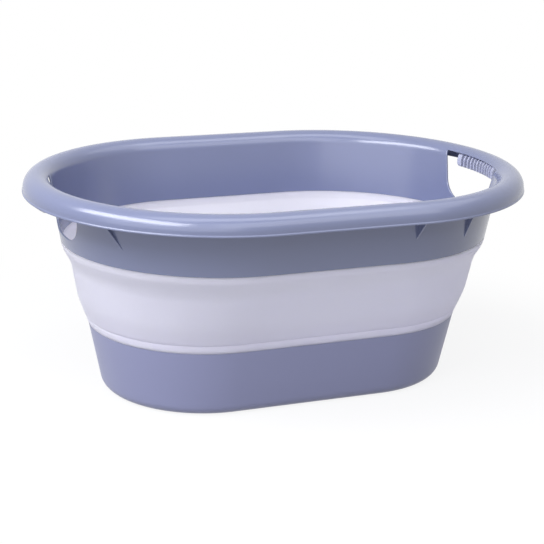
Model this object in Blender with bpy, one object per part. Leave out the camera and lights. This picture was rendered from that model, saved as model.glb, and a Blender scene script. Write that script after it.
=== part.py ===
"""Folding oval pet bathtub: rolled rim with two handles, soft folding band, base and grips.

Metres, +Z up, long side along X, origin on the floor under the middle of the open tub.
Every moulding is drawn as a section of two numbers, the inset from the rim's outermost
outline and the height, and that section is carried round the oval.
"""
import math

import bmesh
import bpy
import numpy as np

# Overall size of the open tub
LENGTH = 0.600
WIDTH = 0.440
HEIGHT = 0.256

# Wall of the hard mouldings, and the tongue that the soft band is moulded round
WALL = 0.0026
SKIN = 0.0005
GAP = 0.0003
TONGUE = 0.0065

# Rolled lip and upper wall of the rim
LIP_RADIUS = 0.0165
SKIRT = 0.0045
BEAD = 0.0008
RIM_DRAFT = math.radians(10.5)
RIM_FOOT_Z = 0.180

# Handle opening at each end
HANDLE_TOP_Z = 0.249
HANDLE_FOOT_Z = 0.193
HANDLE_TOP_HALF = 0.061
HANDLE_FOOT_HALF = 0.0425
HANDLE_CORNER = 0.034
HANDLE_REACH = (0.232, 0.280)

# Gusset fins under the lip at each end: degrees from the tub's long axis at the lip and at the foot,
# height of the foot, and the angle in degrees at which the fin's edge leaves the lip's channel
LEFT_GUSSETS = ((30.5, 40.0, 0.192, 90.0),)
RIGHT_GUSSETS = ((62.0, 62.0, 0.192, 97.0), (86.0, 86.0, 0.206, 150.0))
GUSSET_THICKNESS = 0.0022

# Ribbed grip in the lip's channel; the roof of its slots ends at an angle in degrees
GRIP_HALF = 0.047
GRIP_FOOT_Z = 0.232
GRIP_CORNER = 0.005
GRIP_BACK = 0.0030
GRIP_PLAY = 0.0009
RIB_PITCH = 0.0074
RIB_SLOT = 0.0040
SLOT_ROOF = 55.0

# Folding band
BAND = 0.0022
SHOULDER_Z = 0.172
SHOULDER_FOOT = (0.0538, 0.154)
KNEE = (0.0613, 0.111)
CREASE_Z = 0.090
CREASE_DEPTH = 0.0007
BEND_REACH = 0.004
BEAD_RISE = 0.0012

# Base, whose long sides tuck in further than its ends
BASE_TOP_INSET = 0.0731
BASE_TOP_Z = 0.080
BASE_DRAFT = math.radians(11.7)
BASE_CORNER = 0.015
SIDE_TUCK = 0.0124
FOOT_WIDTH = 0.016
FOOT_HEIGHT = 0.003
FLOOR = 0.0026

# Facets round each end, along each straight side and in each round of a section
END_STEPS = 24
SIDE_STEPS = 2
LIP_STEPS = 5
BEND_STEPS = 2
BASE_CORNER_STEPS = 4
GUSSET_STEPS = 5
HANDLE_CORNER_STEPS = 6
GRIP_STEPS = 8
GRIP_CORNER_STEPS = 3
GRIP_LENGTH_STEPS = 8
SLOT_STEPS = 5
SHARP_EDGE = math.radians(35)

# Colours and roughness of the plastics
RIM_BLUE = (0.245, 0.262, 0.402, 1.0)
BASE_BLUE = (0.262, 0.270, 0.410, 1.0)
BAND_WHITE = (0.680, 0.668, 0.800, 1.0)
RIM_ROUGHNESS = 0.25
GRIP_ROUGHNESS = 0.35
BASE_ROUGHNESS = 0.42
BAND_ROUGHNESS = 0.5

END_CENTRE_X = (LENGTH - WIDTH) / 2


def clear_scene():
    """Remove every object of the scene."""
    for item in list(bpy.data.objects):
        bpy.data.objects.remove(item, do_unlink=True)


def plastic(name, colour, roughness):
    """A moulded plastic of one colour and roughness."""
    material = bpy.data.materials.new(name)
    material.use_nodes = True
    shader = material.node_tree.nodes["Principled BSDF"]
    shader.inputs["Base Color"].default_value = colour
    shader.inputs["Roughness"].default_value = roughness
    shader.inputs["Metallic"].default_value = 0.0
    return material


def arc(centre, radius, first, last, steps):
    """Points of a circular arc in the section plane, between two angles in degrees."""
    turn = np.radians(np.linspace(first, last, steps + 1))
    return [(centre[0] + radius * math.cos(t), centre[1] + radius * math.sin(t)) for t in turn]


def move(point, direction, distance):
    """A section point moved along a direction."""
    return (point[0] + direction[0] * distance, point[1] + direction[1] * distance)


def across(first, last):
    """Unit direction from one section point to another."""
    step = np.subtract(last, first)
    return tuple(step / np.linalg.norm(step))


def offset(path, distance):
    """The path moved sideways by a distance, with its corners mitred."""
    path = np.array(path)
    step = np.diff(path, axis=0)
    step /= np.linalg.norm(step, axis=1)[:, None]
    side = np.stack([-step[:, 1], step[:, 0]], axis=1)
    before = np.vstack([side[:1], side])
    after = np.vstack([side, side[-1:]])
    mitre = (before + after) / (1 + np.sum(before * after, axis=1))[:, None]
    return [tuple(point) for point in path + mitre * distance]


def rounded(path, reach, steps):
    """The path with each inner corner replaced by a curve that reaches along both sides."""
    result = [path[0]]
    for before, corner, after in zip(path, path[1:], path[2:]):
        start = np.array(move(corner, across(corner, before), reach))
        end = np.array(move(corner, across(corner, after), reach))
        for t in np.linspace(0.0, 1.0, steps + 1):
            curve = (1 - t) ** 2 * start + 2 * t * (1 - t) * np.array(corner) + t ** 2 * end
            result.append(tuple(curve))
    return result + [path[-1]]


def tongue(first, last, along):
    """End of a hard wall: its two corners with a thin tongue standing out between them."""
    side = across(first, last)
    root_a = move(first, side, SKIN + GAP)
    root_b = move(last, side, -SKIN - GAP)
    return [first, root_a, move(root_a, along, TONGUE), move(root_b, along, TONGUE), root_b, last]


def groove(first, last, along):
    """End of the soft band: the slot that goes round a tongue, with a gap on every side."""
    side = across(first, last)
    edge_a = move(first, along, GAP)
    edge_b = move(last, along, GAP)
    lip_a = move(edge_a, side, SKIN)
    lip_b = move(edge_b, side, -SKIN)
    return [edge_a, lip_a, move(lip_a, along, TONGUE), move(lip_b, along, TONGUE), lip_b, edge_b]


def lip_centre():
    """Centre of the rolled lip's round in the section."""
    return (BEAD + LIP_RADIUS, HEIGHT - LIP_RADIUS)


def rim_face(z, depth=0.0):
    """Point of the rim's inner wall face at a height, or of a face some depth outside it."""
    centre = lip_centre()
    start = move(centre, (math.cos(RIM_DRAFT), math.sin(RIM_DRAFT)), LIP_RADIUS - depth)
    return (start[0] + (start[1] - z) * math.tan(RIM_DRAFT), z)


def base_face(z, depth=0.0):
    """Point of the base's outer wall face at a height, or of a face some depth inside it."""
    inset = BASE_TOP_INSET + (BASE_TOP_Z - z) * math.tan(BASE_DRAFT)
    return (inset + depth / math.cos(BASE_DRAFT), z)


def lip_round(radius):
    """Round of the lip in the section, from the skirt over the top to the wall."""
    centre = lip_centre()
    rise = arc(centre, radius, 180, 90, LIP_STEPS)
    return rise + arc(centre, radius, 90, math.degrees(RIM_DRAFT), LIP_STEPS)[1:]


def rim_section():
    """Lip outside and over, wall inside and down, tongue, then back up inside the channel."""
    skirt_z = lip_centre()[1] - SKIRT
    bead = [(0.0, skirt_z), (0.0, skirt_z + 2 * BEAD), (BEAD, skirt_z + 3 * BEAD)]
    crown = lip_round(LIP_RADIUS)
    channel = lip_round(LIP_RADIUS - WALL)[::-1]
    down = (math.sin(RIM_DRAFT), -math.cos(RIM_DRAFT))
    foot = tongue(rim_face(RIM_FOOT_Z), rim_face(RIM_FOOT_Z, WALL), down)
    return bead + crown + foot + channel + [(BEAD + WALL, skirt_z)]


def band_section():
    """Outside from the rim to the base, slot, inside back up, slot."""
    down = (math.sin(RIM_DRAFT), -math.cos(RIM_DRAFT))
    up = (-math.sin(BASE_DRAFT), math.cos(BASE_DRAFT))
    rim_out = rim_face(RIM_FOOT_Z, WALL)
    rim_in = rim_face(RIM_FOOT_Z)
    base_out = base_face(BASE_TOP_Z)
    base_in = base_face(BASE_TOP_Z, WALL)
    bends = [rim_face(SHOULDER_Z, WALL), SHOULDER_FOOT, KNEE]
    fall = across(KNEE, base_out)
    crease = move(KNEE, fall, (KNEE[1] - CREASE_Z) / -fall[1])
    inward = (-fall[1], fall[0])
    crease_points = [move(crease, fall, -2 * CREASE_DEPTH),
                     move(crease, inward, CREASE_DEPTH),
                     move(crease, fall, 2 * CREASE_DEPTH)]
    bottom = groove(base_out, base_in, up)
    top = groove(rim_in, rim_out, down)
    outside = rounded([rim_out] + bends + [base_out], BEND_REACH, BEND_STEPS)[1:-1]
    inner_bends = offset([rim_out] + bends + [base_out], BAND)[2:-1]
    bead_top = move(base_in, up, TONGUE + BEAD_RISE)
    inner_path = [bead_top] + inner_bends[::-1] + [rim_face(SHOULDER_Z)]
    inside = rounded(inner_path, BEND_REACH, BEND_STEPS)
    return outside + crease_points + bottom + inside + top


def base_section():
    """From under the floor out over the foot, up outside, tongue, down inside to the floor."""
    draft = math.degrees(BASE_DRAFT)
    up = (-math.sin(BASE_DRAFT), math.cos(BASE_DRAFT))
    low = base_face(BASE_CORNER - BASE_CORNER * math.sin(BASE_DRAFT))
    corner = (low[0] + BASE_CORNER * math.cos(BASE_DRAFT), BASE_CORNER)
    floor_z = FOOT_HEIGHT + FLOOR
    inner_radius = BASE_CORNER - FLOOR
    inner_z = floor_z + inner_radius
    inner_low = base_face(inner_z - inner_radius * math.sin(BASE_DRAFT), WALL)
    inner = (inner_low[0] + inner_radius * math.cos(BASE_DRAFT), inner_z)
    foot_inset = corner[0] + FOOT_WIDTH
    under = [(foot_inset + FOOT_HEIGHT, FOOT_HEIGHT), (foot_inset, 0.0)]
    outer_corner = arc(corner, BASE_CORNER, 270, 180 + draft, BASE_CORNER_STEPS)
    inner_corner = arc(inner, inner_radius, 180 + draft, 270, BASE_CORNER_STEPS)
    rim = tongue(base_face(BASE_TOP_Z), base_face(BASE_TOP_Z, WALL), up)
    return under + outer_corner + rim + inner_corner


def tuck(z):
    """How much further than the ends the long sides stand in, from nothing at the rim."""
    low, high = CREASE_Z, SHOULDER_Z - GAP
    return SIDE_TUCK * np.clip((high - z) / (high - low), 0.0, 1.0)


def oval(half_length, half_width):
    """Points of an oval with round ends and straight sides, anticlockwise."""
    straight = half_length - half_width
    turn = np.linspace(-math.pi / 2, math.pi / 2, END_STEPS + 1)
    end = np.stack([straight + half_width * np.cos(turn), half_width * np.sin(turn)], axis=1)
    share = np.arange(1, SIDE_STEPS)[:, None] / SIDE_STEPS
    far_side = end[-1] + (end[-1] * (-1, 1) - end[-1]) * share
    return np.vstack([end, far_side, -end, -far_side])


def carry(section):
    """Grid of points: each section point carried round the oval at its own inset and height."""
    rows = []
    for inset, z in section:
        ring = oval(LENGTH / 2 - inset, WIDTH / 2 - inset - tuck(z))
        rows.append(np.column_stack([ring, np.full(len(ring), z)]))
    return np.array(rows)


def turned(section, turns, side):
    """Grid of points: a section turned about the centre of one rounded end."""
    radius = WIDTH / 2 - np.array([inset for inset, z in section])[:, None]
    height = np.array([z for inset, z in section])[:, None]
    x = side * (END_CENTRE_X + radius * np.cos(turns))
    y = radius * np.sin(turns)
    return np.stack([x, y, height + 0 * turns], axis=2)


def skin(name, grid, rows_close, columns_close):
    """Closed mesh over a grid of points; a side that doesn't close on itself is capped."""
    mesh = bmesh.new()
    rows, columns = grid.shape[:2]
    points = [[mesh.verts.new(place) for place in row] for row in grid]
    for i in range(rows if rows_close else rows - 1):
        for j in range(columns if columns_close else columns - 1):
            a, b = (i + 1) % rows, (j + 1) % columns
            mesh.faces.new([points[i][j], points[i][b], points[a][b], points[a][j]])
    if not rows_close:
        mesh.faces.new(points[0])
        mesh.faces.new(points[-1])
    if not columns_close:
        mesh.faces.new([row[0] for row in points])
        mesh.faces.new([row[-1] for row in points])
    return finish(name, mesh)


def finish(name, mesh):
    """Turn the faces outwards and link the mesh as a named object."""
    bmesh.ops.recalc_face_normals(mesh, faces=mesh.faces)
    data = bpy.data.meshes.new(name)
    mesh.to_mesh(data)
    mesh.free()
    data.shade_smooth()
    data.set_sharp_from_angle(angle=SHARP_EDGE)
    item = bpy.data.objects.new(name, data)
    bpy.context.scene.collection.objects.link(item)
    return item


def prism(mesh, outline, shift):
    """Add a closed prism to a mesh: a flat outline pushed along a vector."""
    face = mesh.faces.new([mesh.verts.new(place) for place in outline])
    pushed = bmesh.ops.extrude_face_region(mesh, geom=[face])["geom"]
    moved = [item for item in pushed if isinstance(item, bmesh.types.BMVert)]
    bmesh.ops.translate(mesh, verts=moved, vec=shift)


def as_cutter(item):
    """Keep a helper solid out of the finished object."""
    item.hide_render = True
    item.display_type = "WIRE"
    return item


def combine(item, helper, operation):
    """Join a helper solid to an object, or cut it out."""
    modifier = item.modifiers.new(helper.name, "BOOLEAN")
    modifier.operation = operation
    modifier.solver = "EXACT"
    modifier.object = helper


def gusset_outline(foot_z, first):
    """Triangle between the lip's channel and the wall, sunk half-way into both."""
    roof = arc(lip_centre(), LIP_RADIUS - WALL / 2, first, math.degrees(RIM_DRAFT), GUSSET_STEPS)
    return roof + [rim_face(foot_z, WALL / 2)]


def end_point(side_x, side_y, angle, inset, z):
    """Point of a section that is stood at an angle round one end."""
    turn = math.radians(angle)
    radius = WIDTH / 2 - inset
    return np.array([side_x * (END_CENTRE_X + radius * math.cos(turn)), side_y * radius * math.sin(turn), z])


def gusset(mesh, side_x, side_y, top_angle, foot_angle, foot_z, first):
    """Add one gusset to a mesh: a flat fin that stands on the line from its foot to its top."""
    outline = gusset_outline(foot_z, first)
    top = end_point(side_x, side_y, top_angle, *outline[-2])
    foot = end_point(side_x, side_y, foot_angle, *outline[-1])
    rise = (top - foot) / (top[2] - foot[2])
    middle = math.radians((top_angle + foot_angle) / 2)
    out = np.array([side_x * math.cos(middle), side_y * math.sin(middle), 0.0])
    along = np.cross(rise, out)
    along *= GUSSET_THICKNESS / np.linalg.norm(along)
    reaches = [(z - foot_z, rim_face(z, WALL / 2)[0] - inset) for inset, z in outline]
    prism(mesh, [foot + rise * up + out * reach - along / 2 for up, reach in reaches], along)


def gussets():
    """All the gusset fins, alike in front and behind."""
    mesh = bmesh.new()
    for side_x, fins in [(-1, LEFT_GUSSETS), (1, RIGHT_GUSSETS)]:
        for fin in fins:
            gusset(mesh, side_x, -1, *fin)
            gusset(mesh, side_x, 1, *fin)
    return as_cutter(finish("gusset_fins", mesh))


def handle_cutter(name, side):
    """Opening through one end wall: straight top, sides drawn in, large lower corners."""
    drawn_in = across((HANDLE_TOP_HALF, HANDLE_TOP_Z), (HANDLE_FOOT_HALF, HANDLE_FOOT_Z))
    lean = math.degrees(math.atan2(-drawn_in[0], -drawn_in[1]))
    wall_at = HANDLE_FOOT_HALF + HANDLE_CORNER * math.tan(math.radians(lean))
    centre = (wall_at - HANDLE_CORNER / math.cos(math.radians(lean)), HANDLE_FOOT_Z + HANDLE_CORNER)
    corner = arc(centre, HANDLE_CORNER, -lean, -90, HANDLE_CORNER_STEPS)
    half = [(HANDLE_TOP_HALF, HANDLE_TOP_Z)] + corner
    outline = half + [(-y, z) for y, z in half[::-1]]
    near, far = HANDLE_REACH
    mesh = bmesh.new()
    prism(mesh, [(side * near, y, z) for y, z in outline], (side * (far - near), 0.0, 0.0))
    return as_cutter(finish(name, mesh))


def grip_section(foot_z):
    """Solid bar that fills the channel, from the skirt to the open side, down to a height."""
    crown = arc(lip_centre(), LIP_RADIUS - WALL - GRIP_PLAY, 180, 0, GRIP_STEPS)
    return [(crown[0][0], foot_z)] + crown + [(crown[-1][0], foot_z)]


def grip_slots(name, side):
    """Slots between the ribs, open inwards and downwards."""
    centre = lip_centre()
    roof_radius = LIP_RADIUS - WALL - GRIP_PLAY - GRIP_BACK
    roof = arc(centre, roof_radius, 180, SLOT_ROOF, SLOT_STEPS)
    foot_z = GRIP_FOOT_Z - GRIP_BACK
    open_side = centre[0] + LIP_RADIUS
    outline = [(roof[0][0], foot_z)] + roof + [(open_side, roof[-1][1]), (open_side, foot_z)]
    count = int(2 * (GRIP_HALF - GRIP_CORNER) / RIB_PITCH)
    radius = WIDTH / 2 - centre[0]
    mesh = bmesh.new()
    for place in (np.arange(count) - (count - 1) / 2) * RIB_PITCH:
        turn = place / radius
        out = np.array([side * math.cos(turn), math.sin(turn), 0.0])
        along = np.array([-out[1], out[0], 0.0]) * RIB_SLOT
        root = np.array([side * END_CENTRE_X, 0.0, 0.0]) - along / 2
        prism(mesh, [root + out * (WIDTH / 2 - inset) + (0, 0, z) for inset, z in outline], along)
    return as_cutter(finish(name, mesh))


def grip(name, side):
    """Ribbed grip: a bar turned about the end's centre, round at its lower corners, slotted."""
    radius = WIDTH / 2 - lip_centre()[0]
    corner = np.linspace(0.0, math.pi / 2, GRIP_CORNER_STEPS + 1)
    ends = GRIP_HALF - GRIP_CORNER * np.sin(corner)
    lift = GRIP_CORNER * (1 - np.cos(corner[::-1]))
    middle = np.linspace(-ends[-1], ends[-1], GRIP_LENGTH_STEPS + 1)
    places = np.concatenate([-ends[:-1], middle, ends[-2::-1]])
    raised = np.concatenate([lift[:-1], 0 * middle, lift[-2::-1]])
    grid = turned(grip_section(GRIP_FOOT_Z), places / radius, side)
    grid[[0, -1], :, 2] += raised
    bar = skin(name, grid, True, False)
    combine(bar, grip_slots(name + "_slots", side), "DIFFERENCE")
    return bar


def build():
    """Make every moulding, give it its material and parent what slides to the fold's axis."""
    clear_scene()
    rim_plastic = plastic("gloss_blue_grey_polypropylene", RIM_BLUE, RIM_ROUGHNESS)
    base_plastic = plastic("satin_blue_grey_polypropylene", BASE_BLUE, BASE_ROUGHNESS)
    band_rubber = plastic("pale_soft_rubber", BAND_WHITE, BAND_ROUGHNESS)
    grip_plastic = plastic("pale_blue_grey_polypropylene", RIM_BLUE, GRIP_ROUGHNESS)

    base = skin("base_tub", carry(base_section()), False, True)
    band = skin("folding_band", carry(band_section()), True, True)
    rim = skin("rim_frame", carry(rim_section()), True, True)
    combine(rim, gussets(), "UNION")
    combine(rim, handle_cutter("handle_opening_left", -1), "DIFFERENCE")
    combine(rim, handle_cutter("handle_opening_right", 1), "DIFFERENCE")
    grips = [grip("grip_left", -1), grip("grip_right", 1)]

    fold_axis = bpy.data.objects.new("fold_axis", None)
    bpy.context.scene.collection.objects.link(fold_axis)
    for item in [rim] + grips:
        item.parent = fold_axis
    for item, material in [(base, base_plastic), (band, band_rubber), (rim, rim_plastic),
                           (grips[0], grip_plastic), (grips[1], grip_plastic)]:
        item.data.materials.append(material)


build()
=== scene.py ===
# %% [markdown]
# # A folding bathtub for pets
#
# The tub has five mouldings: a glossy hard rim with a rolled lip, a soft pale band that turns inside
# out, a satin hard base, and a ribbed grip in the lip over each handle opening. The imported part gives
# the outer sizes. This lesson gives each piece a fine surface and a finish, and then lights the tub.

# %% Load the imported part
import math

import bmesh
import bpy
import numpy as np
from mathutils import Matrix, Vector


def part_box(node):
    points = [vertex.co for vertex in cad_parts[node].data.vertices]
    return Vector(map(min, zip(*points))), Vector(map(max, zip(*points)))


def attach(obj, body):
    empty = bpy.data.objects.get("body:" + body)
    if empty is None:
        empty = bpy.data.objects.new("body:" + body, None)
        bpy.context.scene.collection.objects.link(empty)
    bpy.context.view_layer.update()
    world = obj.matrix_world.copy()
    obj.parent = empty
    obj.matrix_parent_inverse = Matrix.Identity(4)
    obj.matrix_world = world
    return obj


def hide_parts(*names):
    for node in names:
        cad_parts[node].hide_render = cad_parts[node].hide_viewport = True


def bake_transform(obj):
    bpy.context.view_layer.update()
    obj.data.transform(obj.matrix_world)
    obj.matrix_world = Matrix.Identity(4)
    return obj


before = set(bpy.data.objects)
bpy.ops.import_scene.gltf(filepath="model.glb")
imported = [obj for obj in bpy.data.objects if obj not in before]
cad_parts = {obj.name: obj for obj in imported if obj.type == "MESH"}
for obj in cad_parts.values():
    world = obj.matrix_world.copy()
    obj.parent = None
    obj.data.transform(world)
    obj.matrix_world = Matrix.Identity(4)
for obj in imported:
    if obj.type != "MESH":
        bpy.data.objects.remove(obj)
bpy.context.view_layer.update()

# %% [markdown]
# ## The oval that everything follows
#
# Seen from above, every moulding is the same figure: two straight sides and two half-round ends. So a
# shape only has to be drawn once, as a section, and carried round. A section point is two numbers, how
# far it stands in from the outermost outline and how high it is. A lathe or a curve bevel could do
# this too, but a formula gives exact control of the columns, which the handle openings need later.
# Below the rim the long sides stand in a little further than the ends, which is the tuck.

# %% Overall sizes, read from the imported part
HALF_LENGTH, HALF_WIDTH, TOP_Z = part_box("rim_frame")[1]
END_CENTRE = HALF_LENGTH - HALF_WIDTH
BASE_HALF_LENGTH, BASE_HALF_WIDTH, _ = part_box("base_tub")[1]
SIDE_TUCK = BASE_HALF_LENGTH - BASE_HALF_WIDTH - END_CENTRE
TUCK_FROM_Z = 0.1717
TUCK_TO_Z = 0.0900
print(f"end centres at x = {END_CENTRE:.3f} m, sides tuck in by {SIDE_TUCK * 1000:.1f} mm")

# %% Carry a section round the oval
def tuck(z):
    """Extra inset of the long sides: nothing at the rim, growing evenly to its full value low down."""
    return SIDE_TUCK * np.clip((TUCK_FROM_Z - z) / (TUCK_FROM_Z - TUCK_TO_Z), 0.0, 1.0)


def oval_path(end_turns, side_steps):
    """Columns round the oval, anticlockwise: the way each one faces, and its share of the straight side.

    The right end turns from -90 to 90 degrees at share 1. The back side runs from share 1 to -1. The
    left end is the right end turned by half a turn, at share -1, and the front side runs back again.
    """
    inner = np.linspace(1.0, -1.0, side_steps + 1)[1:-1]
    side = np.stack([np.full(len(inner), math.pi / 2), inner], axis=1)
    end = np.stack([end_turns, np.ones(len(end_turns))], axis=1)
    half_turn = np.array([math.pi, 0.0])
    opposite = np.array([1.0, -1.0])
    return np.vstack([end, side, end * opposite + half_turn, side * opposite + half_turn])


def carry(section, path):
    """Points of a section carried round the oval.

    With a for the way a column faces and s for its share of the straight side, an inset and a height z
    land at x = s (END_CENTRE + tuck) + r cos a and y = r sin a, where r = HALF_WIDTH - inset - tuck.
    """
    inset, z = section[..., 0], section[..., 1]
    radius = HALF_WIDTH - inset - tuck(z)
    x = path[:, 1] * (END_CENTRE + tuck(z)) + radius * np.cos(path[:, 0])
    return np.stack([x, radius * np.sin(path[:, 0]), z + 0.0 * x], axis=-1)


# %% Lines, arcs and bends of a section
LOOKUP_POINTS = 2001


def arc(centre, radius, first, last, steps):
    """Circular arc from one angle to another in degrees: centre plus radius times (cos, sin)."""
    turn = np.radians(np.linspace(first, last, steps + 1))
    return np.array(centre) + radius * np.stack([np.cos(turn), np.sin(turn)], axis=1)


def resample(curve, shares):
    """Points of a curve at shares of its own length, read off by interpolation."""
    step = np.linalg.norm(np.diff(curve, axis=0), axis=1)
    share = np.concatenate([[0.0], np.cumsum(step)]) / step.sum()
    return np.stack([np.interp(shares, share, curve[:, axis]) for axis in (0, 1)], axis=-1)


def share_at_height(curve, z):
    """Share of a curve's length at which it passes a height; the curve only goes down."""
    shares = np.linspace(0.0, 1.0, LOOKUP_POINTS)
    return np.interp(-np.asarray(z), -resample(curve, shares)[:, 1], shares)


def bent(path, reaches, steps):
    """A path with each inner corner turned into a parabola that reaches along both of its sides."""
    path = np.array(path)
    t = np.linspace(0.0, 1.0, steps + 1)[:, None]
    rounds = [path[:1]]
    for before, corner, after, reach in zip(path, path[1:], path[2:], reaches):
        start = corner + (before - corner) * reach / np.linalg.norm(before - corner)
        end = corner + (after - corner) * reach / np.linalg.norm(after - corner)
        rounds.append((1 - t) ** 2 * start + 2 * t * (1 - t) * corner + t ** 2 * end)
    return np.vstack(rounds + [path[-1:]])


def offset(path, distance):
    """A path moved sideways, to the left of its own way, with mitred corners."""
    path = np.array(path)
    step = np.diff(path, axis=0)
    step /= np.linalg.norm(step, axis=1)[:, None]
    side = np.stack([-step[:, 1], step[:, 0]], axis=1)
    before, after = np.vstack([side[:1], side]), np.vstack([side, side[-1:]])
    return path + distance * (before + after) / (1 + np.sum(before * after, axis=1))[:, None]


# %% From grids of points to a piece
MERGE = 2e-6
SHARP_EDGE = math.radians(38)


def add_object(name, data):
    """An object that shows a mesh, a lamp or a camera, linked into the scene."""
    item = bpy.data.objects.new(name, data)
    bpy.context.scene.collection.objects.link(item)
    return item


def quads(grid, wrap_rows=False, wrap_columns=False):
    """Points and faces of a grid: each face joins a point, the next in its row and the two above."""
    index = np.arange(grid.shape[0] * grid.shape[1]).reshape(grid.shape[:2])
    if wrap_rows:
        index = np.vstack([index, index[:1]])
    if wrap_columns:
        index = np.hstack([index, index[:, :1]])
    corners = [index[:-1, :-1], index[:-1, 1:], index[1:, 1:], index[1:, :-1]]
    return grid.reshape(-1, 3), np.stack(corners, axis=-1).reshape(-1, 4)


def make_piece(name, surfaces, material):
    """One piece from several surfaces: points that meet are merged, and faces are turned outwards."""
    starts = np.cumsum([0] + [len(points) for points, faces in surfaces])
    points = np.vstack([points for points, faces in surfaces])
    faces = np.vstack([faces + start for (_, faces), start in zip(surfaces, starts)])
    mesh = bpy.data.meshes.new(name)
    mesh.from_pydata(points, [], faces.tolist())
    work = bmesh.new()
    work.from_mesh(mesh)
    bmesh.ops.remove_doubles(work, verts=work.verts, dist=MERGE)
    bmesh.ops.recalc_face_normals(work, faces=work.faces)
    open_edges = sum(1 for edge in work.edges if not edge.is_manifold)
    work.to_mesh(mesh)
    work.free()
    mesh.shade_smooth()
    mesh.set_sharp_from_angle(angle=SHARP_EDGE)
    mesh.materials.append(material)
    print(f"{name}: {len(mesh.polygons)} faces, {open_edges} edges not closed")
    return add_object(name, mesh)


# %% [markdown]
# ## The plastics
#
# The rim, the grips and the base are injection-moulded polypropylene. A polished mould gives the rim a
# gloss with a faint orange peel, and a spark-eroded mould gives the base a satin. The band is a soft
# thermoplastic rubber: paler, duller and slightly see-into. Each finish is one Principled shader whose
# colour, roughness and bump vary a little over the piece, because no moulding is perfectly even.

# %% Colours and nodes
CLOUD = 0.16


def linear(hex_colour):
    """An sRGB hex colour as linear RGBA: ((c + 0.055) / 1.055) to the power 2.4, or c / 12.92 if dark."""
    srgb = np.array([int(hex_colour[i:i + 2], 16) / 255 for i in (1, 3, 5)])
    values = np.where(srgb > 0.04045, ((srgb + 0.055) / 1.055) ** 2.4, srgb / 12.92)
    return (*values.tolist(), 1.0)


def add_node(tree, kind, values=None, links=None, **settings):
    """Add a node with its settings, the values of its inputs, and links into its inputs."""
    node = tree.nodes.new(kind)
    for name, value in settings.items():
        setattr(node, name, value)
    for name, value in (values or {}).items():
        node.inputs[name].default_value = value
    for name, socket in (links or {}).items():
        tree.links.new(socket, node.inputs[name])
    return node


def moulded(name, colours, roughness, grain_mm, grain_depth_mm, **shader_values):
    """A moulded plastic: two close colours in soft clouds, and a grain that shows in gloss and bump."""
    material = bpy.data.materials.new(name)
    material.use_nodes = True
    tree = material.node_tree
    shader = tree.nodes["Principled BSDF"]
    place = add_node(tree, "ShaderNodeTexCoord").outputs["Object"]
    clouds = add_node(tree, "ShaderNodeTexNoise", {"Scale": 1 / CLOUD, "Detail": 3.0, "Roughness": 0.5},
                      {"Vector": place})
    colour = add_node(tree, "ShaderNodeMix", {"A": linear(colours[0]), "B": linear(colours[1])},
                      {"Factor": clouds.outputs["Fac"]}, data_type="RGBA")
    tree.links.new(colour.outputs["Result"], shader.inputs["Base Color"])
    grain = add_node(tree, "ShaderNodeTexNoise",
                     {"Scale": 1000 / grain_mm, "Detail": 2.0, "Roughness": 0.6}, {"Vector": place})
    gloss = add_node(tree, "ShaderNodeMapRange", {"To Min": roughness[0], "To Max": roughness[1]},
                     {"Value": grain.outputs["Fac"]})
    tree.links.new(gloss.outputs["Result"], shader.inputs["Roughness"])
    bump = add_node(tree, "ShaderNodeBump", {"Strength": 1.0, "Distance": grain_depth_mm / 1000},
                    {"Height": grain.outputs["Fac"]})
    tree.links.new(bump.outputs["Normal"], shader.inputs["Normal"])
    for socket, value in shader_values.items():
        shader.inputs[socket.replace("_", " ")].default_value = value
    return material


# %% The finishes
POLYPROPYLENE_IOR = 1.49
RUBBER_IOR = 1.50

# The rim's blue-grey is set darker than the base's, though both are the same polypropylene: the darker tone
# is painted shade for the wall under the lip.
rim_finish_with_painted_shade = moulded("polished_polypropylene", ("#757C9B", "#79809F"), (0.18, 0.24), 3.0, 0.010,
                     IOR=POLYPROPYLENE_IOR, Specular_IOR_Level=0.9)
base_finish = moulded("satin_polypropylene", ("#9093B3", "#9497B8"), (0.34, 0.46), 1.8, 0.020,
                      IOR=POLYPROPYLENE_IOR)
grip_finish = moulded("pale_polypropylene", ("#B9BCD0", "#C0C3D6"), (0.30, 0.40), 2.4, 0.010,
                      IOR=POLYPROPYLENE_IOR)
band_finish = moulded("soft_thermoplastic_rubber", ("#E4E0F8", "#E8E4FC"), (0.46, 0.60), 2.2, 0.015,
                      IOR=RUBBER_IOR, Subsurface_Weight=1.0, Subsurface_Scale=0.010,
                      Subsurface_Radius=(1.0, 1.0, 1.0))
print("finishes", [material.name for material in bpy.data.materials])

# %% [markdown]
# ## The rim
#
# The rim is one shell: a rolled lip that is hollow underneath, and a wall that leans inwards as it goes
# down. Its section is drawn in two stretches that meet at a cut line just under the crown. The lip
# goes all round. The wall does too, but at the handles its upper edge drops from the cut line to the
# outline of the opening. So each column of the wall starts at its own height, and no Boolean is needed.

# %% Sizes of the rim
WALL = 0.0026
JOINT_GAP = 0.00005
LIP_RADIUS = 0.0165
SKIRT = 0.0045
SKIRT_LEAD = 0.001
SKIRT_ROUNDS = (0.0006, 0.0006, 0.0005, 0.0004)
BEAD = 0.0008
RIM_DRAFT = math.radians(10.5)
RIM_FOOT_Z = 0.180
LIP_CENTRE = np.array([BEAD + LIP_RADIUS, TOP_Z - LIP_RADIUS])
DOWN_RIM = np.array([math.sin(RIM_DRAFT), -math.cos(RIM_DRAFT)])
SIDE_RIM = np.array([math.cos(RIM_DRAFT), math.sin(RIM_DRAFT)])

HANDLE_TOP_Z = 0.249
HANDLE_FOOT_Z = 0.193
HANDLE_TOP_HALF = 0.061
HANDLE_FOOT_HALF = 0.0425
HANDLE_CORNER = 0.034
EDGE_ROUND = 0.0009


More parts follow.
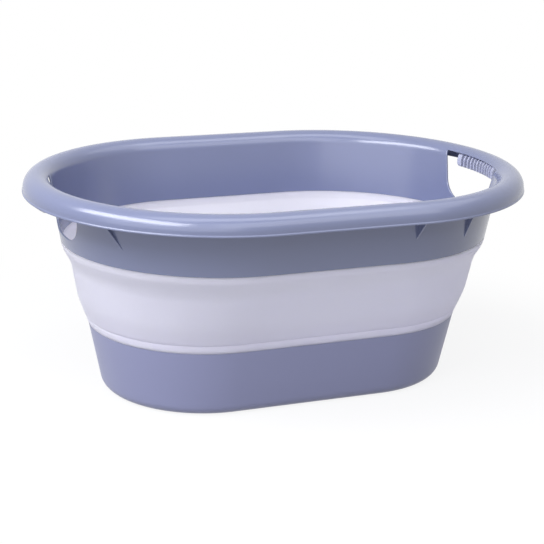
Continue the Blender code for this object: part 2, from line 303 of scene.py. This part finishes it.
def rim_face(z, depth=0.0):
    """Point of the rim's inner wall face at a height, or of a face some depth outside it."""
    start = LIP_CENTRE + SIDE_RIM * (LIP_RADIUS - depth)
    return start + DOWN_RIM * (start[1] - z) / math.cos(RIM_DRAFT)


# %% The two stretches of the rim's section
CUT_Z = HANDLE_TOP_Z + EDGE_ROUND
DRAFT_DEGREES = math.degrees(RIM_DRAFT)
INNER_CUT = math.degrees(math.asin((CUT_Z - LIP_CENTRE[1]) / LIP_RADIUS))
OUTER_CUT = math.degrees(math.asin((CUT_Z - LIP_CENTRE[1]) / (LIP_RADIUS - WALL)))
SKIRT_Z = LIP_CENTRE[1] - SKIRT

channel = arc(LIP_CENTRE, LIP_RADIUS - WALL, OUTER_CUT, 180, 30)
skirt = bent([(BEAD + WALL, SKIRT_Z + SKIRT_LEAD), (BEAD + WALL, SKIRT_Z), (0.0, SKIRT_Z),
              (0.0, SKIRT_Z + 2 * BEAD), (BEAD, SKIRT_Z + 3 * BEAD), (BEAD, LIP_CENTRE[1])],
             SKIRT_ROUNDS, 4)
crown = arc(LIP_CENTRE, LIP_RADIUS, 180, INNER_CUT, 44)
lip_section = np.vstack([channel, skirt, crown])[:, None, :]

inner_wall = np.vstack([arc(LIP_CENTRE, LIP_RADIUS, INNER_CUT, DRAFT_DEGREES, 12),
                        [rim_face(RIM_FOOT_Z)]])
outer_wall = np.vstack([arc(LIP_CENTRE, LIP_RADIUS - WALL, OUTER_CUT, DRAFT_DEGREES, 12),
                        [rim_face(RIM_FOOT_Z, WALL)]])
print(f"lip of {len(lip_section)} rows, cut line {CUT_Z * 1000:.1f} mm up")

# %% Outline of the handle opening
OUTLINE_STEPS = 70
BESIDE_POINTS = 56
RIM_SIDE_STEPS = 10


def half_outline(grow):
    """One half of the opening's edge, from the middle of its foot to its top corner, as (y, z).

    A flat foot runs into a large round corner, and a straight side leans out from there to the cut line.
    Growing the outline moves it outwards everywhere, which only makes the corner's radius larger.
    """
    lean = math.atan2(HANDLE_TOP_HALF - HANDLE_FOOT_HALF, HANDLE_TOP_Z - HANDLE_FOOT_Z)
    wall_at = HANDLE_FOOT_HALF + HANDLE_CORNER * math.tan(lean)
    centre = (wall_at - HANDLE_CORNER / math.cos(lean), HANDLE_FOOT_Z + HANDLE_CORNER)
    corner = arc(centre, HANDLE_CORNER + grow, -90, -math.degrees(lean), 24)
    rise = (CUT_Z - corner[-1, 1]) * np.array([math.tan(lean), 1.0])
    return resample(np.vstack([[(0.0, corner[0, 1])], corner, [corner[-1] + rise]]),
                    np.linspace(0.0, 1.0, OUTLINE_STEPS + 1))


right_half = half_outline(EDGE_ROUND)
outline = np.vstack([right_half[:0:-1] * (-1, 1), right_half])
wall_inset = resample(inner_wall, share_at_height(inner_wall, outline[:, 1]))[:, 0] - WALL / 2
outline_turn = np.arcsin(outline[:, 0] / (HALF_WIDTH - wall_inset))
beyond = np.linspace(outline_turn[-1], math.pi / 2, BESIDE_POINTS)[1:]
rim_turns = np.concatenate([-beyond[::-1], outline_turn, beyond])
rim_path = oval_path(rim_turns, RIM_SIDE_STEPS)
print(f"opening {2 * HANDLE_TOP_HALF * 1000:.0f} mm wide at the top, {len(rim_path)} columns round the rim")

# %% Rim surfaces: lip, wall and the rounded edges of the openings
WALL_ROWS = 36
ROW_CROWDING = 1.15
EDGE_ROWS = 10

start_z = np.full(len(rim_path), CUT_Z)
first_open = len(beyond)
open_columns = [np.arange(len(outline)) + first_open + end * len(rim_path) // 2 for end in (0, 1)]
for columns in open_columns:
    start_z[columns] = outline[:, 1]

fall = np.linspace(0.0, 1.0, WALL_ROWS + 1)[:, None] ** ROW_CROWDING
inner_start = share_at_height(inner_wall, start_z)
outer_start = share_at_height(outer_wall, start_z)
wall_section = np.concatenate([
    resample(inner_wall, inner_start + (1 - inner_start) * fall),
    resample(outer_wall, outer_start + (1 - outer_start) * fall[::-1]),
])

lip_grid = carry(lip_section, rim_path)
wall_grid = carry(wall_section, rim_path)


def opening_edge(first, last, inward):
    """Half-round edge between two lines of points: the mean of both, plus half their distance turned
    from one to the other by cos t, plus sin t along the way into the opening. It is flat at both ends."""
    t = np.linspace(0.0, math.pi, EDGE_ROWS + 1)[:, None, None]
    bulge = np.ones((len(first), 1))
    bulge[[0, -1]] = 0.0
    return (first + last) / 2 + (first - last) / 2 * np.cos(t) + EDGE_ROUND * bulge * inward * np.sin(t)


rim_surfaces = [quads(lip_grid, wrap_columns=True), quads(wall_grid, wrap_columns=True)]
outline_step = np.gradient(outline, axis=0)
outline_step /= np.linalg.norm(outline_step, axis=1)[:, None]
for columns in open_columns:
    turn = rim_path[columns, 0]
    sideways = np.stack([-np.sin(turn), np.cos(turn), 0 * turn], axis=1)
    outwards = np.stack([np.cos(turn), np.sin(turn), 0 * turn], axis=1)
    upwards = outwards * math.sin(RIM_DRAFT) + np.array([0.0, 0.0, math.cos(RIM_DRAFT)])
    into_opening = upwards * outline_step[:, :1] - sideways * outline_step[:, 1:]
    wall_edge = opening_edge(wall_grid[-1, columns], wall_grid[0, columns], into_opening)
    lip_edge = opening_edge(lip_grid[0, columns], lip_grid[-1, columns], -upwards)
    rim_surfaces += [quads(wall_edge), quads(lip_edge)]

rim = make_piece("rim_shell", rim_surfaces, rim_finish_with_painted_shade)
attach(rim, "rim")
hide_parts("rim_frame")

# %% [markdown]
# ## The gussets under the lip
#
# Thin fins stiffen the lip from below, alike in front and behind. A fin is a flat outline with a
# thickness, so each is a short prism. A bevel rounds its edges as moulding does.

# %% Gusset fins
# Each fin: degrees from the long axis at the lip and at the foot, foot height, start on the channel
LEFT_GUSSETS = ((30.5, 40.0, 0.192, 90.0),)
RIGHT_GUSSETS = ((62.0, 62.0, 0.192, 97.0), (86.0, 86.0, 0.206, 150.0))
GUSSET_THICKNESS = 0.0022
GUSSET_BEVEL = 0.0004


def end_point(side_x, side_y, degrees, inset, z):
    """Point of a section that is stood at an angle round one end."""
    turn = math.radians(degrees)
    radius = HALF_WIDTH - inset
    return np.array([side_x * (END_CENTRE + radius * math.cos(turn)), side_y * radius * math.sin(turn), z])


def gusset(side_x, side_y, top_degrees, foot_degrees, foot_z, first):
    """One fin on the line from its foot to its top, as the points of its two faces.

    A point of the outline stands up the line by its height, and out from it by its reach, which is how
    far it stands outside the middle of the wall. The line and the way out span the fin's plane.
    """
    roof = arc(LIP_CENTRE, LIP_RADIUS - WALL / 2, first, DRAFT_DEGREES, 10)
    section = np.vstack([roof, [rim_face(foot_z, WALL / 2)]])
    top = end_point(side_x, side_y, top_degrees, *section[-2])
    foot = end_point(side_x, side_y, foot_degrees, *section[-1])
    rise = (top - foot) / (top[2] - foot[2])
    turn = math.radians((top_degrees + foot_degrees) / 2)
    out = np.array([side_x * math.cos(turn), side_y * math.sin(turn), 0.0])
    across = np.cross(rise, out)
    across *= GUSSET_THICKNESS / 2 / np.linalg.norm(across)
    reach = np.array([rim_face(z, WALL / 2)[0] - inset for inset, z in section])
    middle = foot + rise * (section[:, 1:] - foot_z) + out * reach[:, None]
    return middle + across, middle - across


layout = [(-1, fin) for fin in LEFT_GUSSETS] + [(1, fin) for fin in RIGHT_GUSSETS]
fins = [gusset(side_x, side_y, *fin) for side_x, fin in layout for side_y in (-1, 1)]
fin_points = np.vstack([np.vstack(fin) for fin in fins])
count = len(fins[0][0])
ring = np.arange(count)
fin_faces = [ring.tolist(), (ring[::-1] + count).tolist()]
fin_faces += [[i, (i + 1) % count, (i + 1) % count + count, i + count] for i in range(count)]
all_faces = [[i + 2 * count * k for i in face] for k in range(len(fins)) for face in fin_faces]

gusset_mesh = bpy.data.meshes.new("rim_gussets")
gusset_mesh.from_pydata(fin_points, [], all_faces)
work = bmesh.new()
work.from_mesh(gusset_mesh)
bmesh.ops.recalc_face_normals(work, faces=work.faces)
work.to_mesh(gusset_mesh)
work.free()
gusset_mesh.materials.append(rim_finish_with_painted_shade)
gussets = add_object("rim_gussets", gusset_mesh)
bevel = gussets.modifiers.new("moulded_edges", "BEVEL")
bevel.width = GUSSET_BEVEL
bevel.segments = 2
bevel.limit_method = "ANGLE"
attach(gussets, "rim")
print(f"{len(fins)} gussets")

# %% [markdown]
# ## The ribbed grips
#
# Over each opening a grip fills the lip's channel, and deep slots leave upright ribs that the fingers
# feel. A Boolean could cut the slots, but the grip is easier as a loft between two sections with the
# same number of points: the full bar at a rib, and the thin back of the bar at a slot. A wave along
# the grip says which of the two holds, with soft flanks, so every rib has rounded edges.

# %% Sizes and sections of the grip
GRIP_HALF = 0.047
GRIP_FOOT_Z = 0.232
GRIP_CORNER = 0.005
GRIP_BACK = 0.0030
GRIP_PLAY = 0.0009
RIB_PITCH = 0.0074
RIB_SLOT = 0.0040
RIB_FLANK = 0.0009
RIB_TOE = 0.003
RIB_LEAD = 0.001
SLOT_ROOF = 55.0
GRIP_RADIUS = LIP_RADIUS - WALL - GRIP_PLAY
SLOT_RADIUS = GRIP_RADIUS - GRIP_BACK
ROW_SHARES = np.linspace(0.0, 1.0, 49)

back_foot = (LIP_CENTRE[0] - GRIP_RADIUS, GRIP_FOOT_Z)
slot_foot = (LIP_CENTRE[0] - SLOT_RADIUS, GRIP_FOOT_Z)
rib_foot = (LIP_CENTRE[0] + GRIP_RADIUS, GRIP_FOOT_Z)
rib_top = (LIP_CENTRE[0] + GRIP_RADIUS, LIP_CENTRE[1] - RIB_LEAD)
grip_back = np.vstack([[back_foot], arc(LIP_CENTRE, GRIP_RADIUS, 180, SLOT_ROOF, 30)])
rib_side = np.vstack([arc(LIP_CENTRE, GRIP_RADIUS, SLOT_ROOF, 0, 16),
                      bent([rib_top, rib_foot, back_foot], (RIB_TOE,), 8)])
slot_side = np.vstack([grip_back[-1:], arc(LIP_CENTRE, SLOT_RADIUS, SLOT_ROOF, 180, 30),
                       [slot_foot, back_foot]])
shared_rows = resample(grip_back, ROW_SHARES)
rib_rows = np.vstack([shared_rows, resample(rib_side, ROW_SHARES)[1:-1]])[:, None, :]
slot_rows = np.vstack([shared_rows, resample(slot_side, ROW_SHARES)[1:-1]])[:, None, :]

# %% Ribs along the grip
slot_count = int(2 * (GRIP_HALF - GRIP_CORNER) / RIB_PITCH)
slot_places = (np.arange(slot_count) - (slot_count - 1) / 2) * RIB_PITCH
flank = np.linspace(-RIB_FLANK / 2, RIB_FLANK / 2, 7)
near_flanks = np.concatenate([slot_places[:, None] + side * RIB_SLOT / 2 + flank for side in (-1, 1)],
                             axis=None)
round_ends = GRIP_HALF - GRIP_CORNER * (1 - np.cos(np.linspace(0.0, math.pi / 2, 9)))
rib_middles = np.concatenate([slot_places, slot_places + RIB_PITCH / 2, slot_places - RIB_PITCH / 2])
grip_places = np.unique(np.round(np.concatenate([near_flanks, rib_middles, round_ends, -round_ends]), 6))

from_slot = np.abs(grip_places[:, None] - slot_places).min(axis=1)
slotted = np.clip((RIB_SLOT / 2 + RIB_FLANK / 2 - from_slot) / RIB_FLANK, 0.0, 1.0)
slotted = slotted ** 2 * (3 - 2 * slotted)
end_lift = np.clip((np.abs(grip_places) - GRIP_HALF + GRIP_CORNER) / GRIP_CORNER, 0.0, 1.0)
end_lift = GRIP_CORNER * (1 - np.sqrt(1 - end_lift ** 2))


def grip_surface(facing):
    """Grip at one end: sections blended rib to slot along the bar, its foot lifted at the round ends."""
    section = rib_rows + (slot_rows - rib_rows) * slotted[:, None]
    section[..., 1] = np.maximum(section[..., 1], GRIP_FOOT_Z + end_lift)
    turn = grip_places / (HALF_WIDTH - LIP_CENTRE[0])
    path = np.stack([turn + (0.0 if facing > 0 else math.pi), np.full(len(turn), float(facing))], axis=1)
    grid = carry(section, path)
    surfaces = [quads(grid, wrap_rows=True)]
    for end_line in (grid[:, 0], grid[:, -1]):
        middle = np.broadcast_to(end_line.mean(axis=0), end_line.shape)
        surfaces.append(quads(np.stack([end_line, middle], axis=1), wrap_rows=True))
    return surfaces


for node, facing in [("grip_left", -1), ("grip_right", 1)]:
    grip = make_piece(node + "_comb", grip_surface(facing), grip_finish)
    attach(grip, "rim")
    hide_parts(node)

# %% [markdown]
# ## The folding band
#
# The band is a soft sleeve moulded on to the rim above and the base below. It leaves the rim over a
# rounded shoulder, falls nearly straight, and turns in again at a knee above the base. A fine crease
# marks the line where it folds. Every bend is a parabola, so the surface stays smooth.

# %% Sizes and section of the band
BAND = 0.0022
SHOULDER_Z = 0.172
SHOULDER_FOOT = np.array([0.0538, 0.154])
KNEE = np.array([0.0613, 0.111])
CREASE_Z = 0.090
CREASE_DEPTH = 0.0007
SEAM_RISE = 0.0077
BASE_TOP_INSET = 0.0731
BASE_TOP_Z = 0.080
BASE_DRAFT = math.radians(11.7)
UP_BASE = np.array([-math.sin(BASE_DRAFT), math.cos(BASE_DRAFT)])
BEND_REACHES = (0.004, 0.008, 0.008)
BEND_STEPS = 14
BAND_STEP = 0.0025


def base_face(z, depth=0.0):
    """Point of the base's outer wall face at a height, or of a face some depth inside it."""
    inset = BASE_TOP_INSET + (BASE_TOP_Z - z) * math.tan(BASE_DRAFT)
    return np.array([inset + depth / math.cos(BASE_DRAFT), z])


def fine(path, longest):
    """A path with points added so that no step is longer than a length."""
    counts = np.ceil(np.linalg.norm(np.diff(path, axis=0), axis=1) / longest).astype(int)
    parts = [np.linspace(a, b, count + 1)[:-1] for a, b, count in zip(path, path[1:], counts)]
    return np.vstack(parts + [path[-1:]])


rim_out, rim_in = rim_face(RIM_FOOT_Z, WALL), rim_face(RIM_FOOT_Z)
base_out, base_in = base_face(BASE_TOP_Z), base_face(BASE_TOP_Z, WALL)
bends = [rim_out, rim_face(SHOULDER_Z, WALL), SHOULDER_FOOT, KNEE, base_out]
fall_way = (base_out - KNEE) / np.linalg.norm(base_out - KNEE)
crease = KNEE + fall_way * (KNEE[1] - CREASE_Z) / -fall_way[1]
inward = np.array([-fall_way[1], fall_way[0]])
crease_round = bent([crease - fall_way * 2 * CREASE_DEPTH, crease + inward * CREASE_DEPTH,
                     crease + fall_way * 2 * CREASE_DEPTH], (CREASE_DEPTH,), 4)
outside = np.vstack([bent(bends, BEND_REACHES, BEND_STEPS)[1:-1], crease_round])
inner_path = np.vstack([[base_in + UP_BASE * SEAM_RISE], offset(bends, BAND)[-2:1:-1],
                        [rim_face(SHOULDER_Z)]])
inside = bent(inner_path, BEND_REACHES[:0:-1], BEND_STEPS)
low_joint = np.array([base_out, base_in]) + UP_BASE * JOINT_GAP
high_joint = np.array([rim_in, rim_out]) + DOWN_RIM * JOINT_GAP
band_section = np.vstack([fine(outside, BAND_STEP), low_joint, fine(inside, BAND_STEP), high_joint])

# %% Band
END_COLUMNS = 120
SIDE_COLUMNS = 16

plain_path = oval_path(np.linspace(-math.pi / 2, math.pi / 2, END_COLUMNS + 1), SIDE_COLUMNS)
band_grid = carry(band_section[:, None, :], plain_path)
band = make_piece("band_sleeve", [quads(band_grid, wrap_rows=True, wrap_columns=True)], band_finish)
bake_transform(band)
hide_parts("folding_band")

# %% [markdown]
# ## The base
#
# The base is a shallow tray: a wall that leans inwards, a round corner, a flat floor and a low ring to
# stand on. It is a section of revolution in all but name, so it is carried round the oval as well. At
# the middle of the floor the rings close up on a line, where the points are merged.

# %% Sizes, section and piece of the base
BASE_CORNER = 0.015
FOOT_WIDTH = 0.016
FOOT_HEIGHT = 0.003
FOOT_ROUND = 0.001
FLOOR = 0.0026
UNDER_STEP = 0.006
OUTER_STEP = 0.003
INNER_STEP = 0.004

low = base_face(BASE_CORNER - BASE_CORNER * math.sin(BASE_DRAFT))
corner_at = (low[0] + BASE_CORNER * math.cos(BASE_DRAFT), BASE_CORNER)
inner_radius = BASE_CORNER - FLOOR
inner_z = FOOT_HEIGHT + FLOOR + inner_radius
inner_low = base_face(inner_z - inner_radius * math.sin(BASE_DRAFT), WALL)
inner_at = (inner_low[0] + inner_radius * math.cos(BASE_DRAFT), inner_z)
lean = math.degrees(BASE_DRAFT)
middle_inset = HALF_WIDTH - SIDE_TUCK
foot_inset = corner_at[0] + FOOT_WIDTH

under = bent([(middle_inset, FOOT_HEIGHT), (foot_inset + FOOT_HEIGHT, FOOT_HEIGHT), (foot_inset, 0.0),
              (corner_at[0], 0.0)], (FOOT_ROUND, FOOT_ROUND), 4)[:-1]
outer = np.vstack([arc(corner_at, BASE_CORNER, 270, 180 + lean, 16), base_out[None]])
inner = np.vstack([base_in[None], arc(inner_at, inner_radius, 180 + lean, 270, 16),
                   [(middle_inset, FOOT_HEIGHT + FLOOR)]])
base_section = np.vstack([fine(under, UNDER_STEP), fine(outer, OUTER_STEP), fine(inner, INNER_STEP)])

base_grid = carry(base_section[:, None, :], plain_path)
base = make_piece("base_tray", [quads(base_grid, wrap_columns=True)], base_finish)
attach(base, "base")
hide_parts("base_tub")

# %% [markdown]
# ## Floor, light and camera
#
# The tub stands in a white studio. The floor and the surroundings are shown to the camera as plain
# white, and stay ordinary surfaces for the light that falls on the tub. A long soft lamp on the left
# gives the streak on the lip. A low one in front lights the band and the base, one overhead lights the
# top of the lip, and two weaker ones fill the rest.

# %% Floor
FLOOR_HALF = 4.0
FLOOR_GREY = "#AAAAAC"
SHADOW_SHARE = 0.14
SHADOW_FADE = (0.34, 0.62)
WHITE = (1.0, 1.0, 1.0, 1.0)


def seen_directly(tree):
    """Socket that is 1 for rays that show a surface as it is, and 0 for rays that gather soft light."""
    rays = add_node(tree, "ShaderNodeLightPath").outputs
    mirrored = add_node(tree, "ShaderNodeMath", operation="MAXIMUM",
                        links={0: rays["Is Glossy Ray"], 1: rays["Is Transmission Ray"]})
    return add_node(tree, "ShaderNodeMath", operation="MAXIMUM",
                    links={0: rays["Is Camera Ray"], 1: mirrored.outputs[0]}).outputs[0]


floor_mesh = bpy.data.meshes.new("studio_floor")
corners = [(-1, -1), (1, -1), (1, 1), (-1, 1)]
floor_mesh.from_pydata([(x * FLOOR_HALF, y * FLOOR_HALF, 0.0) for x, y in corners], [], [(0, 1, 2, 3)])
studio_floor = add_object("studio_floor", floor_mesh)

floor_paint = bpy.data.materials.new("white_studio_paint")
floor_paint.use_nodes = True
tree = floor_paint.node_tree
tree.nodes.clear()
seen = seen_directly(tree)
tone = add_node(tree, "ShaderNodeMix", {"A": linear(FLOOR_GREY), "B": WHITE}, {"Factor": seen},
                data_type="RGBA")
paint = add_node(tree, "ShaderNodeBsdfDiffuse", links={"Color": tone.outputs["Result"]})
glow = add_node(tree, "ShaderNodeEmission", {"Color": WHITE, "Strength": 1.0})
place = add_node(tree, "ShaderNodeTexCoord").outputs["Object"]
away = add_node(tree, "ShaderNodeVectorMath", links={0: place}, operation="LENGTH")
white_share = add_node(tree, "ShaderNodeMapRange",
                       {"From Min": SHADOW_FADE[0], "From Max": SHADOW_FADE[1], "To Min": 1 - SHADOW_SHARE},
                       {"Value": away.outputs["Value"]}, interpolation_type="SMOOTHSTEP")
glow_share = add_node(tree, "ShaderNodeMath", links={0: seen, 1: white_share.outputs["Result"]},
                      operation="MULTIPLY")
mixed = add_node(tree, "ShaderNodeMixShader",
                 links={0: glow_share.outputs[0], 1: paint.outputs[0], 2: glow.outputs[0]})
add_node(tree, "ShaderNodeOutputMaterial", links={"Surface": mixed.outputs[0]})
floor_mesh.materials.append(floor_paint)

# %% Surroundings
AMBIENT = 0.12

world = bpy.data.worlds.new("white_studio")
bpy.context.scene.world = world
world.use_nodes = True
tree = world.node_tree
tree.nodes.clear()
strength = add_node(tree, "ShaderNodeMapRange", {"To Min": AMBIENT, "To Max": 1.0},
                    {"Value": seen_directly(tree)})
sky = add_node(tree, "ShaderNodeBackground", {"Color": WHITE}, {"Strength": strength.outputs["Result"]})
add_node(tree, "ShaderNodeOutputWorld", links={"Surface": sky.outputs[0]})

# %% Lamps
MIDDLE = Vector((0.0, 0.0, 0.13))
LAMP_DISTANCE = 2.2
DAYLIGHT = "#F6F8FF"


def direction(turn, rise):
    """Unit vector towards a place round the tub: a turn from the front, to the right, and a rise."""
    turn, rise = math.radians(turn), math.radians(rise)
    return Vector((math.sin(turn) * math.cos(rise), -math.cos(turn) * math.cos(rise), math.sin(rise)))


def softbox(name, turn, rise, size, watts):
    """A rectangular lamp round the tub, turned to shine at its middle."""
    lamp = bpy.data.lights.new(name, "AREA")
    lamp.shape = "RECTANGLE"
    lamp.size, lamp.size_y = size
    lamp.energy = watts
    lamp.color = linear(DAYLIGHT)[:3]
    item = add_object(name, lamp)
    item.location = MIDDLE + direction(turn, rise) * LAMP_DISTANCE
    item.rotation_mode = "QUATERNION"
    item.rotation_quaternion = (-direction(turn, rise)).to_track_quat("-Z", "Y")


softbox("key_left", -76.0, 43.0, (2.4, 0.75), 49.0)
softbox("front_high", 14.0, 44.0, (2.2, 1.2), 13.0)
softbox("front_low", -46.0, 20.0, (3.4, 1.4), 15.5)
softbox("right_high", 85.0, 55.0, (1.6, 1.0), 5.0)
softbox("top", 0.0, 84.0, (2.2, 0.9), 13.5)

# %% Camera
CAMERA_TURN = -22.4266
CAMERA_RISE = 16.2581
CAMERA_ROLL = math.radians(1.4612)
CAMERA_DISTANCE = 1.7842
CAMERA_AIM = Vector((0.0, 0.0, 0.135))
CAMERA_LENS_MM = 98.32
SENSOR_MM = 36.0
PHOTO_SIDE = 544
AIM_PIXEL = (275.39, 265.46)

camera_data = bpy.data.cameras.new("camera")
camera_data.lens = CAMERA_LENS_MM
camera_data.sensor_width = SENSOR_MM
camera_data.shift_x = (PHOTO_SIDE / 2 - AIM_PIXEL[0]) / PHOTO_SIDE
camera_data.shift_y = (AIM_PIXEL[1] - PHOTO_SIDE / 2) / PHOTO_SIDE
camera = add_object("camera", camera_data)
back = direction(CAMERA_TURN, CAMERA_RISE)
look = (-back).to_track_quat("-Z", "Y").to_matrix().to_4x4() @ Matrix.Rotation(CAMERA_ROLL, 4, "Z")
camera.matrix_world = Matrix.Translation(CAMERA_AIM + back * CAMERA_DISTANCE) @ look
bpy.context.scene.camera = camera
bpy.context.scene.view_settings.view_transform = "Standard"

# %% Update the scene
bpy.context.view_layer.update()
